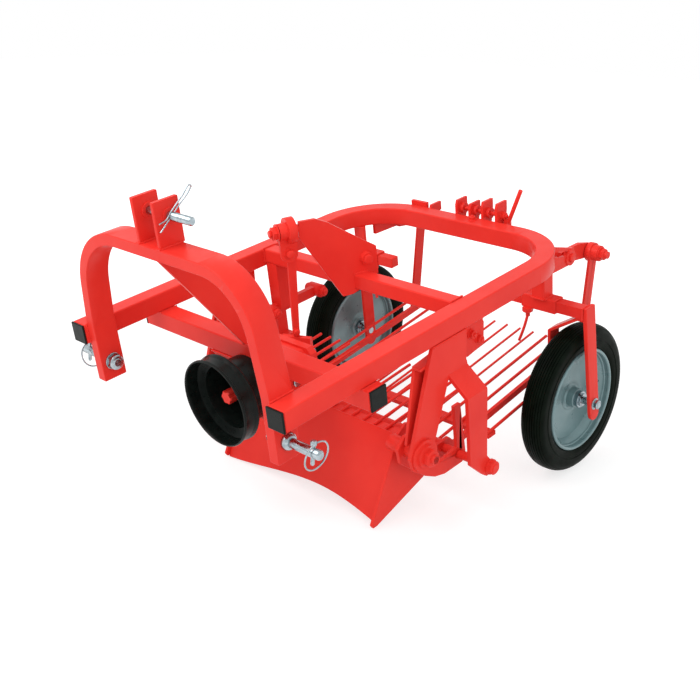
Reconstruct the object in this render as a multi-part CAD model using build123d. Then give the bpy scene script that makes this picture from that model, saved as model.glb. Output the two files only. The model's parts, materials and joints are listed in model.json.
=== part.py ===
from build123d import *
import math
import os

# Mounted vibrating potato digger. All sizes are in millimetres.
# The machine is drawn in its own level frame: +X to its left side, +Y to the rear,
# z = 0 on top of the main frame and y = 0 at the front ends of the frame's arms.
# At the end every piece is turned nose-down onto its share tips and its wheels.

# ---- driving dimensions -------------------------------------------------------------
TUBE = 50.0                # main square tube
WALL = 4.0
FRAME_HALF = 381.0         # outer half width of the U-shaped frame
FRAME_LENGTH = 1073.0
CORNER_R = 200.0           # outer radius of the frame's rear corners
CAP_THICK = 5.0            # plastic plug in an open tube end

CROSS_Y = 218.0            # front face of the cross tube under the arms
CROSS_HALF = 400.0
BAR_SIZE = 40.0            # square bar between the arms
BAR_Y = 582.0

HOOP_Y = 9.0               # front face of the hitch hoop
HOOP_DEPTH = 62.0
HOOP_THICK = 28.0
HOOP_HALF = FRAME_HALF - TUBE   # its legs stand against the arms' inner faces
HOOP_TOP = 265.0
HOOP_BOTTOM = -150.0
HOOP_LEAN = 0.13           # how much each leg leans inward above the frame's top
SHOULDER_LEFT = 150.0      # outer shoulder radii
SHOULDER_RIGHT = 180.0

BRACE_THICK = 10.0
BRACE_BULGE = (165.0, 132.0)   # y and z of the corner in its rear edge
CLEVIS_GAP = 62.0          # between the two top link plates
CLEVIS_THICK = 10.0
CLEVIS_DEPTH = 65.0
CLEVIS_TOP = 366.0
TOP_PIN_R = 9.5
TOP_PIN_Y = 48.0
TOP_PIN_Z = 330.0
TOP_PIN_START, TOP_PIN_END = -62.0, 118.0
TOP_PIN_HEAD_R, TOP_PIN_HEAD = 15.0, 8.0

LOWER_PIN_R = 11.0
LOWER_PIN_Y = 41.0
LOWER_PIN_Z = -104.0
LOWER_PIN_END = 430.0
COLLAR_R, COLLAR_LENGTH = 20.0, 14.0      # on each lower pin, outside the hoop
PIN_NUT_R, PIN_NUT_LENGTH = 17.0, 22.0    # and inside it

PTO_Z = -158.0             # input shaft height
GUARD_FRONT = 104.0
GUARD_DEPTH = 46.0
GUARD_R = 110.0
NECK_R = 82.0              # narrow part of the guard behind its cup
SHAFT_R = 17.5
SHAFT_END_Y = 141.0
GUARD_WALL = 4.0
NECK_LAP = 8.0             # the neck starts this far inside the cup's back
SHAFT_HOLE_R = 30.0
PLATE_THICK = 10.0
# outline of the plate that carries the gearbox, in x and z
GEARBOX_PLATE = ((-134.0, -2 * TUBE), (134.0, -2 * TUBE), (122.0, -2 * TUBE - 14), (122.0, -245.0),
                 (-122.0, -245.0), (-122.0, -2 * TUBE - 14))
GEARBOX_HALF, GEARBOX_REAR = 75.0, 380.0
SHAFT_SHANK_R, SHAFT_SHANK = 15.0, 35.0   # the shaft's thinner rear end in the gearbox

WHEEL_X = 406.0
WHEEL_Y = 980.0
WHEEL_Z = -415.0
TYRE_R = 207.0
TYRE_HALF = 34.0
RIM_R = 144.0
# half of the tyre's profile, from its bead up to the crown: along the axle from its middle, and radius
TYRE_PROFILE = ((TYRE_HALF - 8, RIM_R), (TYRE_HALF, RIM_R + 16), (TYRE_HALF, TYRE_R - 18),
                (TYRE_HALF - 9, TYRE_R - 5), (12.0, TYRE_R))
RIM_HALF, RIM_THICK = 30.0, 5.0
DISC_HALF = 3.0
HUB_HALF, HUB_R = 35.0, 27.0
ARM_Y = 971.0              # middle of the sliding square arms
ARM_Z = -150.0
ARM_HALF = 14.9
ARM_PLAY = 0.1             # on each side of the arm in its sleeve
ARM_START = 205.0
SLEEVE_HALF = 19.0
SLEEVE_START, SLEEVE_END = 262.0, 369.0
POST_INNER, POST_OUTER = 300.0, 340.0     # angle posts that carry the sleeves
POST_THICK, POST_WIDTH = 10.0, 40.0
POST_LEAD = 26.0           # how far their front face lies before the arm's middle
FORK_WIDTH = 42.0
FORK_THICK = 10.0
FORK_OUTER = 448.0         # inner face of the fork's outer leg at the arm
FORK_LEAN = 19.0           # how far that leg's foot leans outward
FORK_INNER = 350.0         # outer face of its inner leg
FORK_CORNER_Z = -222.0     # top of the inner leg, where the bar slopes up
FORK_SLOPE_X = 428.0       # and where it meets the arm
BRIDGE_THICK = 9.0
FORK_END = 48.0            # how far the legs reach below the axle
AXLE_R = 10.0
AXLE_END = 488.0

TIP_X = 272.0
TIP_Y = 311.0
TIP_Z = -513.0
SHARE_THICK = 8.0
# the blade's hollow front edge: x, and how far it lies behind the tips' line
BLADE_EDGE = ((-272.0, 0.0), (-150.0, 15.0), (-10.0, 35.0), (90.0, 40.0), (180.0, 32.0), (272.0, 14.0))
CHEEK_LOW_Y, CHEEK_LOW_Z = 322.0, -511.0   # lowest corner of the cheeks
SHARE_REAR_Y = 420.0
SHARE_REAR_Z = -300.0
SHARE_PIVOT_Y = 395.0      # bolt through cheek, arm and hanger
SHARE_PIVOT_Z = -305.0
SHARE_ARM_X = 324.0        # inner face of the arm behind each cheek
SHARE_ARM_THICK = 10.0
SHARE_BOLT_END = 420.0
SPACER_R = 20.0
SIEVE_PIVOT_Y = 578.0
SIEVE_PIVOT_Z = -415.0
PIN_R = 12.0
PLAY = 0.05                # between a pin and what turns on it

LEFT, RIGHT = 1.0, -1.0
SIDES = (("left", LEFT), ("right", RIGHT))

parts = {}


# ---- helpers ------------------------------------------------------------------------
def box(x0, x1, y0, y1, z0, z1):
    """Box between two corners, in any order."""
    size = (abs(x1 - x0), abs(y1 - y0), abs(z1 - z0))
    return Pos((x0 + x1) / 2, (y0 + y1) / 2, (z0 + z1) / 2) * Box(*size)


def rod(start, end, radius):
    """Round bar between two points."""
    a, b = Vector(*start), Vector(*end)
    plane = Plane(origin=a, z_dir=(b - a).normalized())
    return extrude(plane * Circle(radius), (b - a).length)


def rod_x(x0, x1, y, z, radius):
    """Round bar across the machine."""
    return rod((x0, y, z), (x1, y, z), radius)


def tube(start, end, radius, bore):
    """Round tube between two points."""
    return rod(start, end, radius) - rod(start, end, bore)


def side_plate(points, x0, x1):
    """Plate in a plane of constant x, from its outline in (y, z)."""
    face = Plane.YZ * make_face(Polyline(*points, close=True))
    return Pos(min(x0, x1), 0, 0) * extrude(face, abs(x1 - x0))


def square_tube_x(x_half, y0, z_top, size, wall):
    """Hollow square tube across the machine."""
    outer = box(-x_half, x_half, y0, y0 + size, z_top - size, z_top)
    inner = box(-x_half, x_half, y0 + wall, y0 + size - wall, z_top - size + wall, z_top - wall)
    return outer - inner


def mirrored(solid, side):
    """The piece as drawn for the left side, or its mirror image for the right."""
    return solid if side == LEFT else mirror(solid, Plane.YZ)


def both_sides(make):
    """Left and right copies of a piece, as two solids of one node."""
    return Compound([make(LEFT), make(RIGHT)])


# ---- main frame ---------------------------------------------------------------------
def u_outline(inset, height):
    """Solid U seen from above, its legs along y, inset from the outer faces."""
    outer = RectangleRounded(2 * (FRAME_HALF - inset), 2 * (FRAME_LENGTH - inset), CORNER_R - inset)
    inner_half = FRAME_HALF - TUBE + inset
    inner_length = FRAME_LENGTH - TUBE + inset
    inner = RectangleRounded(2 * inner_half, 2 * inner_length, CORNER_R - TUBE + inset)
    front = Pos(0, -FRAME_LENGTH) * Rectangle(4 * FRAME_HALF, 2 * FRAME_LENGTH)
    return extrude(outer - inner - front, height)


def main_frame():
    shell = Pos(0, 0, -TUBE) * u_outline(0, TUBE)
    core = Pos(0, 0, -TUBE + WALL) * u_outline(WALL, TUBE - 2 * WALL)
    return shell - core


parts["main_frame"] = main_frame()
parts["front_cross_tube"] = square_tube_x(CROSS_HALF, CROSS_Y, -TUBE, TUBE, WALL)
parts["middle_crossbar"] = square_tube_x(FRAME_HALF - TUBE, BAR_Y, 0, BAR_SIZE, WALL)
arm_x = FRAME_HALF - TUBE / 2
arm_caps = [Pos(side * arm_x, -CAP_THICK / 2, -TUBE / 2) * Box(TUBE, CAP_THICK, TUBE) for _, side in SIDES]
cap_x = CROSS_HALF + CAP_THICK / 2
cross_cap = Pos(0, CROSS_Y + TUBE / 2, -1.5 * TUBE) * Box(CAP_THICK, TUBE, TUBE)
cross_caps = [Pos(side * cap_x, 0, 0) * cross_cap for _, side in SIDES]
parts["tube_end_caps"] = Compound(arm_caps + cross_caps)


# ---- three point hitch --------------------------------------------------------------
def hoop_outline(inset):
    """Outline of the hoop, or of the space inside it when inset by the bar's thickness."""
    foot_x, top_z = HOOP_HALF - inset, HOOP_TOP - inset
    shoulder_x = foot_x - HOOP_LEAN * top_z
    foot_z = HOOP_BOTTOM - inset
    face = make_face(Polyline((-foot_x, foot_z), (-foot_x, 0), (-shoulder_x, top_z), (shoulder_x, top_z),
                              (foot_x, 0), (foot_x, foot_z), close=True))
    upper = face.vertices().filter_by(lambda v: v.Y > 1).sort_by(Axis.X)
    face = fillet(upper[0], SHOULDER_RIGHT - inset)
    upper = face.vertices().filter_by(lambda v: v.Y > top_z - 1).sort_by(Axis.X)
    return fillet(upper[-1], SHOULDER_LEFT - inset)


def hitch_hoop():
    plane = Plane(origin=(0, HOOP_Y + HOOP_DEPTH, 0), x_dir=(1, 0, 0), z_dir=(0, -1, 0))
    hoop = extrude(plane * (hoop_outline(0) - hoop_outline(HOOP_THICK)), HOOP_DEPTH)
    reach = 2 * HOOP_HALF
    return hoop - rod_x(-reach, reach, LOWER_PIN_Y, LOWER_PIN_Z, LOWER_PIN_R)


def top_link_plate(side):
    inner = CLEVIS_GAP / 2
    plate = box(inner, inner + CLEVIS_THICK, HOOP_Y + 3, HOOP_Y + 3 + CLEVIS_DEPTH, HOOP_TOP, CLEVIS_TOP)
    hole = rod_x(0, TOP_PIN_END, TOP_PIN_Y, TOP_PIN_Z, TOP_PIN_R + PLAY)
    return mirrored(plate - hole, side)


def hoop_brace():
    """Plate from under the top of the hoop back and down to the cross tube."""
    under = HOOP_TOP - HOOP_THICK
    outline = [(HOOP_Y + 10, under), (HOOP_Y + HOOP_DEPTH, under), BRACE_BULGE, (CROSS_Y + TUBE, -TUBE),
               (CROSS_Y, -TUBE)]
    return side_plate(outline, -BRACE_THICK / 2, BRACE_THICK / 2)


parts["hitch_hoop"] = hitch_hoop()
parts["hoop_brace"] = hoop_brace()
parts["top_link_plates"] = both_sides(top_link_plate)
top_pin = rod_x(TOP_PIN_START, TOP_PIN_END, TOP_PIN_Y, TOP_PIN_Z, TOP_PIN_R)
top_pin += rod_x(TOP_PIN_START - TOP_PIN_HEAD, TOP_PIN_START + 4, TOP_PIN_Y, TOP_PIN_Z, TOP_PIN_HEAD_R)
parts["top_link_pin"] = top_pin


def lower_pin(side):
    inner_face = HOOP_HALF - HOOP_THICK
    pin = rod_x(inner_face, LOWER_PIN_END, LOWER_PIN_Y, LOWER_PIN_Z, LOWER_PIN_R)
    collar = rod_x(HOOP_HALF, HOOP_HALF + COLLAR_LENGTH, LOWER_PIN_Y, LOWER_PIN_Z, COLLAR_R)
    nut = rod_x(inner_face - PIN_NUT_LENGTH, inner_face, LOWER_PIN_Y, LOWER_PIN_Z, PIN_NUT_R)
    return mirrored(pin + collar + nut, side)


for name, side in SIDES:
    parts[f"lower_pin_{name}"] = lower_pin(side)


# ---- drive --------------------------------------------------------------------------
def guard_ring(y0, y1, radius, bore):
    return tube((0, y0, PTO_Z), (0, y1, PTO_Z), radius, bore)


def pto_guard():
    """Wide shallow cup with a flange at its back."""
    rear = GUARD_FRONT + GUARD_DEPTH
    cup = guard_ring(GUARD_FRONT, rear, GUARD_R, GUARD_R - GUARD_WALL)
    return cup + guard_ring(rear - NECK_LAP, rear, GUARD_R, NECK_R)


def guard_neck():
    """Narrower tube from the cup back to the gearbox plate, with a hole for the shaft."""
    start = GUARD_FRONT + GUARD_DEPTH - NECK_LAP
    neck = guard_ring(start, CROSS_Y, NECK_R, NECK_R - GUARD_WALL)
    return neck + guard_ring(CROSS_Y - GUARD_WALL, CROSS_Y, NECK_R, SHAFT_HOLE_R)


def gearbox_plate():
    """Plate under the cross tube that carries the gearbox, its upper corners flared."""
    face = make_face(Polyline(*GEARBOX_PLATE, close=True))
    plate = extrude(Plane.XZ.offset(-CROSS_Y) * face, -PLATE_THICK)
    return plate - rod((0, CROSS_Y - PLATE_THICK, PTO_Z), (0, CROSS_Y + 2 * PLATE_THICK, PTO_Z), SHAFT_HOLE_R)


gearbox_front = CROSS_Y + PLATE_THICK
shaft_step = CROSS_Y - 8   # the shaft is thinner from here into the gearbox
gearbox = box(-GEARBOX_HALF, GEARBOX_HALF, gearbox_front, GEARBOX_REAR, PTO_Z - GEARBOX_HALF, -2 * TUBE)
shank_bore = rod((0, gearbox_front, PTO_Z), (0, gearbox_front + SHAFT_SHANK + 5, PTO_Z), SHAFT_SHANK_R + PLAY)
parts["gearbox"] = gearbox - shank_bore
parts["gearbox_plate"] = gearbox_plate()
parts["pto_guard"] = pto_guard()
parts["pto_guard_neck"] = guard_neck()
shank = rod((0, shaft_step, PTO_Z), (0, gearbox_front + SHAFT_SHANK, PTO_Z), SHAFT_SHANK_R)
parts["pto_shaft"] = rod((0, SHAFT_END_Y, PTO_Z), (0, shaft_step, PTO_Z), SHAFT_R) + shank


# ---- pivot stand and rocker ---------------------------------------------------------
STAND_YAW = 22.0           # the stand points forward and a little to the right
STAND_THICK = 10.0
STAND_X, STAND_Y = 15.0, 583.0
BOSS_Z = 154.0             # height of the rocker's pivot
PIVOT_R = 10.0
ROCKER_THICK = 10.0
# outlines and places here are given along the stand and above the frame's top
STAND_OUTLINE = ((-135.0, 130.0), (-131.0, 170.0), (-88.0, 168.0), (-57.0, 152.0), (38.0, 82.0),
                 (67.0, 62.0), (67.0, -12.0), (42.0, -12.0), (26.0, -BAR_SIZE), (-8.0, -BAR_SIZE - 12),
                 (-35.0, -BAR_SIZE - 12))
STAND_BOSS = (36.0, 38.0)
STAND_BOSS_R, STAND_BOSS_LENGTH = 16.0, 14.0
ROCKER_LEVER_END = (-164.0, 94.0)   # middle of its round lower end
ROCKER_LEVER_R = 22.0
ROCKER_BAR = ((-166.0, 118.0), (-143.0, 118.0), (-162.5, -150.0), (-177.5, -150.0))
PIVOT_PIN_TIP, PIVOT_PIN_SEAT = -210.0, -134.0
PIVOT_NUT = (-204.0, -191.0, 15.0)        # start, end and radius
ROCKER_BOSSES = ((-166.0, -145.0, 32.0), (-186.0, -141.0, 21.0))
FOOT_PLACE = (-60.0, 430.0, -146.0)
FOOT_YAW = 21.0
FOOT_SIZE = (82.0, 14.0, 28.0)
yaw_sin, yaw_cos = math.sin(math.radians(STAND_YAW)), math.cos(math.radians(STAND_YAW))
# local x runs back along the stand, local y is up and local z points out of its left face
stand_plane = Plane(origin=(STAND_X, STAND_Y, 0), x_dir=(yaw_sin, yaw_cos, 0), z_dir=(yaw_cos, -yaw_sin, 0))


def on_stand(along, height, out=-STAND_THICK / 2):
    """Point given along the stand, above the frame's top and out from its left face."""
    return tuple(stand_plane.from_local_coords((along, height, out)))


def pivot_stand():
    plate = extrude(stand_plane * make_face(Polyline(*STAND_OUTLINE, close=True)), -STAND_THICK)
    boss = rod(on_stand(*STAND_BOSS), on_stand(*STAND_BOSS, STAND_BOSS_LENGTH), STAND_BOSS_R)
    return plate + boss - box(-FRAME_HALF, FRAME_HALF, BAR_Y, BAR_Y + BAR_SIZE, -BAR_SIZE, 0)


def pivot_rod(start, end, radius):
    """Round bar on the rocker's pivot axis."""
    return rod(on_stand(start, BOSS_Z), on_stand(end, BOSS_Z), radius)


def pivot_pin():
    return pivot_rod(PIVOT_PIN_TIP, PIVOT_PIN_SEAT, PIVOT_R) + pivot_rod(*PIVOT_NUT)


def drive_rocker():
    """Boss on the pivot pin, a short lever, and a long flat bar that ends on a crosswise foot."""
    boss = pivot_rod(*ROCKER_BOSSES[0]) + pivot_rod(*ROCKER_BOSSES[1])
    along, end = ROCKER_LEVER_END
    sides = Pos(along, (end + BOSS_Z) / 2) * Rectangle(2 * ROCKER_LEVER_R, BOSS_Z - end)
    lever = extrude(stand_plane * (sides + Pos(along, end) * Circle(ROCKER_LEVER_R)), -ROCKER_THICK)
    bar_plane = stand_plane.offset(-ROCKER_THICK)
    bar = extrude(bar_plane * make_face(Polyline(*ROCKER_BAR, close=True)), -ROCKER_THICK)
    foot = Pos(*FOOT_PLACE) * Rot(0, 0, FOOT_YAW) * Box(*FOOT_SIZE)
    return boss + lever + bar + foot - pivot_rod(PIVOT_PIN_TIP, PIVOT_PIN_SEAT, PIVOT_R + PLAY)


parts["pivot_stand"] = pivot_stand()
parts["pivot_pin"] = pivot_pin()
parts["drive_rocker"] = drive_rocker()


# ---- share and its side plates ------------------------------------------------------
share_slope = math.atan2(SHARE_REAR_Z - TIP_Z, SHARE_REAR_Y - TIP_Y)


def share():
    """Blade with a hollow front edge."""
    length = math.hypot(SHARE_REAR_Z - TIP_Z, SHARE_REAR_Y - TIP_Y)
    normal = (0, -math.sin(share_slope), math.cos(share_slope))
    plane = Plane(origin=(0, TIP_Y, TIP_Z), x_dir=(1, 0, 0), z_dir=normal)
    back = Polyline(BLADE_EDGE[-1], (TIP_X, length), (-TIP_X, length), BLADE_EDGE[0])
    return extrude(plane * make_face(Spline(*BLADE_EDGE) + back), -SHARE_THICK)


parts["share"] = share()


# outlines of the cheeks and of the arm behind each, in y and z
CHEEK_OUTLINE = ((TIP_Y - 3, TIP_Z + 2), (TIP_Y - 8, TIP_Z + 12), (SHARE_REAR_Y, SHARE_REAR_Z),
                 (450.0, -282.0), (500.0, -300.0), (522.0, -452.0), (500.0, -464.0),
                 (CHEEK_LOW_Y, CHEEK_LOW_Z))
SHARE_ARM_OUTLINE = ((365.0, -333.0), (448.0, -412.0), (484.0, -434.0), (521.0, -445.0), (592.0, -446.0),
                     (606.0, -420.0), (594.0, -275.0), (568.0, -275.0), (572.0, -393.0), (505.0, -401.0),
                     (450.0, -365.0), (432.0, -305.0), (418.0, -275.0), (390.0, -267.0), (359.0, -293.0))


def share_side_plate(side):
    """Cheek on the end of the share."""
    return mirrored(side_plate(CHEEK_OUTLINE, TIP_X, TIP_X + SHARE_THICK), side)


def share_arm(side):
    """Plate outside the cheek, from the share's pivot low back to the sieve's pivot, where it turns up."""
    outer = SHARE_ARM_X + SHARE_ARM_THICK
    plate = side_plate(SHARE_ARM_OUTLINE, SHARE_ARM_X, outer)
    for y, z in ((SHARE_PIVOT_Y, SHARE_PIVOT_Z), (SIEVE_PIVOT_Y, SIEVE_PIVOT_Z)):
        plate -= rod_x(SHARE_ARM_X, outer, y, z, PIN_R)
    return mirrored(plate, side)


parts["share_side_plates"] = both_sides(share_side_plate)
parts["share_arms"] = both_sides(share_arm)


# ---- wheels -------------------------------------------------------------------------
def ring_x(x0, x1, radius, bore):
    return tube((x0, WHEEL_Y, WHEEL_Z), (x1, WHEEL_Y, WHEEL_Z), radius, bore)


def tyre(side):
    """Solid rubber tyre with a crowned tread and sloping shoulders."""
    inner_half = [(-along, radius) for along, radius in reversed(TYRE_PROFILE)]
    ring = revolve(make_face(Polyline(*TYRE_PROFILE, *inner_half, close=True)), Axis.X)
    return mirrored(Pos(WHEEL_X, WHEEL_Y, WHEEL_Z) * ring, side)


def rim(side):
    drum = ring_x(WHEEL_X - RIM_HALF, WHEEL_X + RIM_HALF, RIM_R, RIM_R - RIM_THICK)
    disc = ring_x(WHEEL_X - DISC_HALF, WHEEL_X + DISC_HALF, RIM_R - RIM_THICK + 1, HUB_R - 2)
    hub = ring_x(WHEEL_X - HUB_HALF, WHEEL_X + HUB_HALF, HUB_R, AXLE_R + PLAY)
    return mirrored(drum + disc + hub, side)


def axle(side):
    return mirrored(rod_x(FORK_INNER - FORK_THICK, AXLE_END, WHEEL_Y, WHEEL_Z, AXLE_R), side)


for name, side in SIDES:
    parts[f"tyre_{name}"] = tyre(side)
    parts[f"rim_{name}"] = rim(side)
    parts[f"axle_{name}"] = axle(side)

# ---- wheel carriers -----------------------------------------------------------------


def square_bar(x0, x1, half):
    """Square bar across the machine on the sliding arm's middle line."""
    return box(x0, x1, ARM_Y - half, ARM_Y + half, ARM_Z - half, ARM_Z + half)


def wheel_post(side):
    """Angle post under the frame's rear corner with a lateral sleeve at its foot."""
    top, front = ARM_Z + SLEEVE_HALF, ARM_Y - POST_LEAD
    plates = box(POST_INNER, POST_OUTER, front, front + POST_THICK, top, -TUBE)
    plates += box(POST_OUTER - POST_THICK, POST_OUTER, front, front + POST_WIDTH, top, -TUBE)
    sleeve = square_bar(SLEEVE_START, SLEEVE_END, SLEEVE_HALF)
    return mirrored(plates + sleeve - square_bar(SLEEVE_START, SLEEVE_END, ARM_HALF + ARM_PLAY), side)


def wheel_arm(side):
    return mirrored(square_bar(ARM_START, FORK_OUTER, ARM_HALF), side)


def wheel_fork(side):
    """Bar over the tyre: a straight inner leg, a slope up under the arm, and an outer leg that leans out."""
    under, foot = ARM_Z - ARM_HALF, WHEEL_Z - FORK_END
    inner = FORK_INNER - FORK_THICK
    over = [(inner, foot), (inner, FORK_CORNER_Z), (FORK_SLOPE_X, under), (FORK_OUTER, under),
            (FORK_OUTER, under - BRIDGE_THICK), (FORK_SLOPE_X + 3, under - BRIDGE_THICK),
            (FORK_INNER, FORK_CORNER_Z - 3), (FORK_INNER, foot)]
    foot_x = FORK_OUTER + FORK_LEAN
    outer = [(FORK_OUTER, ARM_Z + ARM_HALF), (FORK_OUTER + FORK_THICK, ARM_Z + ARM_HALF),
             (foot_x + FORK_THICK, foot), (foot_x, foot), (FORK_OUTER, under - BRIDGE_THICK)]
    rear = WHEEL_Y + FORK_WIDTH / 2
    plane = Plane.XZ.offset(-rear)
    fork = extrude(plane * make_face(Polyline(*over, close=True)), FORK_WIDTH)
    fork += extrude(plane * make_face(Polyline(*outer, close=True)), FORK_WIDTH)
    end_z = foot + FORK_WIDTH / 2
    rounded = box(inner, AXLE_END, rear - FORK_WIDTH, rear, end_z, 0)
    rounded += rod_x(inner, AXLE_END, WHEEL_Y, end_z, FORK_WIDTH / 2)
    return mirrored((fork & rounded) - rod_x(inner, AXLE_END, WHEEL_Y, WHEEL_Z, AXLE_R), side)


parts["wheel_posts"] = both_sides(wheel_post)
for name, side in SIDES:
    parts[f"wheel_arm_{name}"] = wheel_arm(side)
    parts[f"wheel_fork_{name}"] = wheel_fork(side)

# ---- share hangers ------------------------------------------------------------------
HANGER_X = 371.0           # flush with the outer face of the frame's arm
HANGER_THICK = 10.0
CHANNEL_X = 345.0          # inner plate of the channel inside the hanger
LEG_X = 420.0              # inner face of the rear leg below its bend


# outlines seen from the side, in y and z
HANGER_OUTLINE = ((450.0, -TUBE), (572.0, -TUBE), (566.0, -132.0), (500.0, -149.0), (434.0, -300.0),
                  (428.0, -335.0), (412.0, -350.0), (380.0, -350.0), (360.0, -335.0), (350.0, -300.0))
LEG_OUTLINE = ((498.0, -130.0), (568.0, -130.0), (580.0, -200.0), (570.0, -380.0), (602.0, -425.0),
               (590.0, -438.0), (565.0, -437.0), (551.0, -426.0), (506.0, -378.0), (506.0, -194.0))
LEG_TOP, LEG_BOTTOM = -130.0, -438.0
LEG_BEND = ((-141.0, -148.0), (-194.0, -199.0))   # its upper and lower bend: outer and inner face
CHANNEL_PLATE = ((414.0, -100.0), (484.0, -92.0), (470.0, -142.0), (424.0, -280.0), (370.0, -280.0))
CHANNEL_WEB = ((452.0, -100.0), (460.0, -100.0), (432.0, -280.0), (424.0, -280.0))
CHANNEL_CAP = ((414.0, -100.0), (484.0, -92.0), (484.0, -84.0), (414.0, -92.0))
CHANNEL_THICK = 8.0


def hanger(side):
    """Plate from the frame's arm down to the share's pivot, with a bent rear leg."""
    outer, leg_outer = HANGER_X + HANGER_THICK, LEG_X + HANGER_THICK
    plate = side_plate(HANGER_OUTLINE, HANGER_X, outer)
    plate -= rod_x(HANGER_X, outer, SHARE_PIVOT_Y, SHARE_PIVOT_Z, PIN_R)
    (upper_outer, upper_inner), (lower_outer, lower_inner) = LEG_BEND
    bend = Polyline((HANGER_X, LEG_TOP), (outer, LEG_TOP), (outer, upper_outer),
                    (leg_outer, lower_outer), (leg_outer, LEG_BOTTOM), (LEG_X, LEG_BOTTOM),
                    (LEG_X, lower_inner), (HANGER_X, upper_inner), close=True)
    rear = max(y for y, _ in LEG_OUTLINE)
    leg = extrude(Plane.XZ.offset(-rear) * make_face(bend), rear - min(y for y, _ in LEG_OUTLINE))
    leg &= side_plate(LEG_OUTLINE, HANGER_X, leg_outer)
    return mirrored(plate + leg - rod_x(LEG_X, leg_outer, SIEVE_PIVOT_Y, SIEVE_PIVOT_Z, PIN_R), side)


def hanger_channel(side):
    """Channel inside the hanger, open to the front, with a cap on its top."""
    web_x = CHANNEL_X + CHANNEL_THICK
    channel = side_plate(CHANNEL_PLATE, CHANNEL_X, web_x) + side_plate(CHANNEL_WEB, web_x, HANGER_X)
    return mirrored(channel + side_plate(CHANNEL_CAP, CHANNEL_X, HANGER_X), side)


parts["hangers"] = both_sides(hanger)
parts["hanger_channels"] = both_sides(hanger_channel)


POST_X = 308.0
POST_BAR_Y = (556.0, 737.0)      # bosses at the ends of the right post's bar
POST_BAR_Z = -174.0
POST_BAR_HALF = 14.0             # half the bar's height
BOSS_R, BOSS_HALF = 19.0, 22.0
STRUT_Y = (574.0, 610.0)         # strut under that bar
STRUT_FOOT_Z = -252.0
POST_PLATE = ((598.0, -TUBE), (672.0, -TUBE), (692.0, -92.0), (688.0, -150.0), (624.0, -160.0),
              (590.0, -130.0))


def square_post(bottom):
    half = BAR_SIZE / 2
    return box(POST_X - half, POST_X + half, BAR_Y, BAR_Y + BAR_SIZE, bottom, -BAR_SIZE)


def right_post():
    """Post under the crossbar with a lengthwise bar that has two bosses and a foot."""
    front, rear = STRUT_Y
    bar = box(POST_X - 8, POST_X + 8, *POST_BAR_Y, POST_BAR_Z - POST_BAR_HALF, POST_BAR_Z + POST_BAR_HALF)
    for y in POST_BAR_Y:
        bar += rod_x(POST_X - BOSS_HALF, POST_X + BOSS_HALF, y, POST_BAR_Z, BOSS_R)
    bar += box(POST_X - 5, POST_X + 5, front, rear, STRUT_FOOT_Z, POST_BAR_Z)
    bar += box(POST_X - 28, POST_X + 5, front - 2, rear + 2, STRUT_FOOT_Z - 8, STRUT_FOOT_Z)
    return mirrored(square_post(POST_BAR_Z) + bar, RIGHT)


def left_post():
    """Post under the crossbar with a small plate on its outside."""
    face = POST_X + BAR_SIZE / 2
    return square_post(POST_BAR_Z + POST_BAR_HALF) + side_plate(POST_PLATE, face, face + PLATE_THICK)


parts["crossbar_posts"] = Compound([left_post(), right_post()])

# ---- grate behind the share ---------------------------------------------------------
GRATE_ROD_R = 4.0
GRATE_PITCH = 38.0
GRATE_COUNT = 15
GRATE_START = (425.0, -308.0)   # y and z of the rods' front ends
GRATE_TIP = (700.0, -292.0)
GRATE_BAR_Y = (428.0, 458.0)
GRATE_BAR_THICK = 12.0


def share_grate():
    """Rods with free rear tips behind the share, on one crossbar."""
    bar_top = GRATE_START[1] - GRATE_ROD_R + 2
    grate = box(-TIP_X, TIP_X, *GRATE_BAR_Y, bar_top - GRATE_BAR_THICK, bar_top)
    for i in range(GRATE_COUNT):
        x = (i - (GRATE_COUNT - 1) / 2) * GRATE_PITCH
        grate += rod((x, *GRATE_START), (x, *GRATE_TIP), GRATE_ROD_R)
    return grate - share()


parts["share_grate"] = share_grate()

# ---- rear sieve ---------------------------------------------------------------------
SIEVE_REAR_Y = 1161.0
SIEVE_REAR_Z = -375.0
SIEVE_HALF = 286.0         # outer face of its side rails
RAIL_THICK = 10.0
RAIL_HALF = 10.0           # half the rails' height
SIEVE_PITCH = 46.9
SIEVE_SLOPE = 0.1          # rise of its rods to the rear
SIEVE_TIP_Y = 1178.0
SIEVE_BOLT_R = 6.0         # the rear pins are thinner where they pass through the rails
BAR_FRONT = 700.0          # front face of its middle bar
BAR_HALF = 334.0
BAR_DEPTH, BAR_THICK = 30.0, 12.0
INNER_RODS = 5             # rods under the front tube on each side of the middle one
OUTER_ROD = 7              # place of the rod outside each side rail, which starts at the middle bar
THIN_RODS = 3              # how many of them on each side are thin
FRONT_TUBE_R = 18.0
THICK_ROD_R, THIN_ROD_R = 4.5, 3.5
LINK_PIN_R = 10.0
LINK_X = 308.0             # inner face of the tail links
LINK_THICK = 8.0
SIEVE_PIN_LAP = 34.0       # how far the front pins reach into the front tube
# discs and nuts on the pins: start and end from the plate's outer face, and radius
SIEVE_PIN_DISCS = ((0.0, 7.0, 20.0), (7.0, 17.0, 15.0))
SHARE_PIN_DISCS = ((0.0, 8.0, 40.0), (8.0, 16.0, 29.0), (16.0, 30.0, 18.0))


def sieve_z(y):
    """Height of the sieve's rods, which run from under its front tube."""
    return SIEVE_PIVOT_Z - FRONT_TUBE_R + SIEVE_SLOPE * (y - SIEVE_PIVOT_Y)


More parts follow.
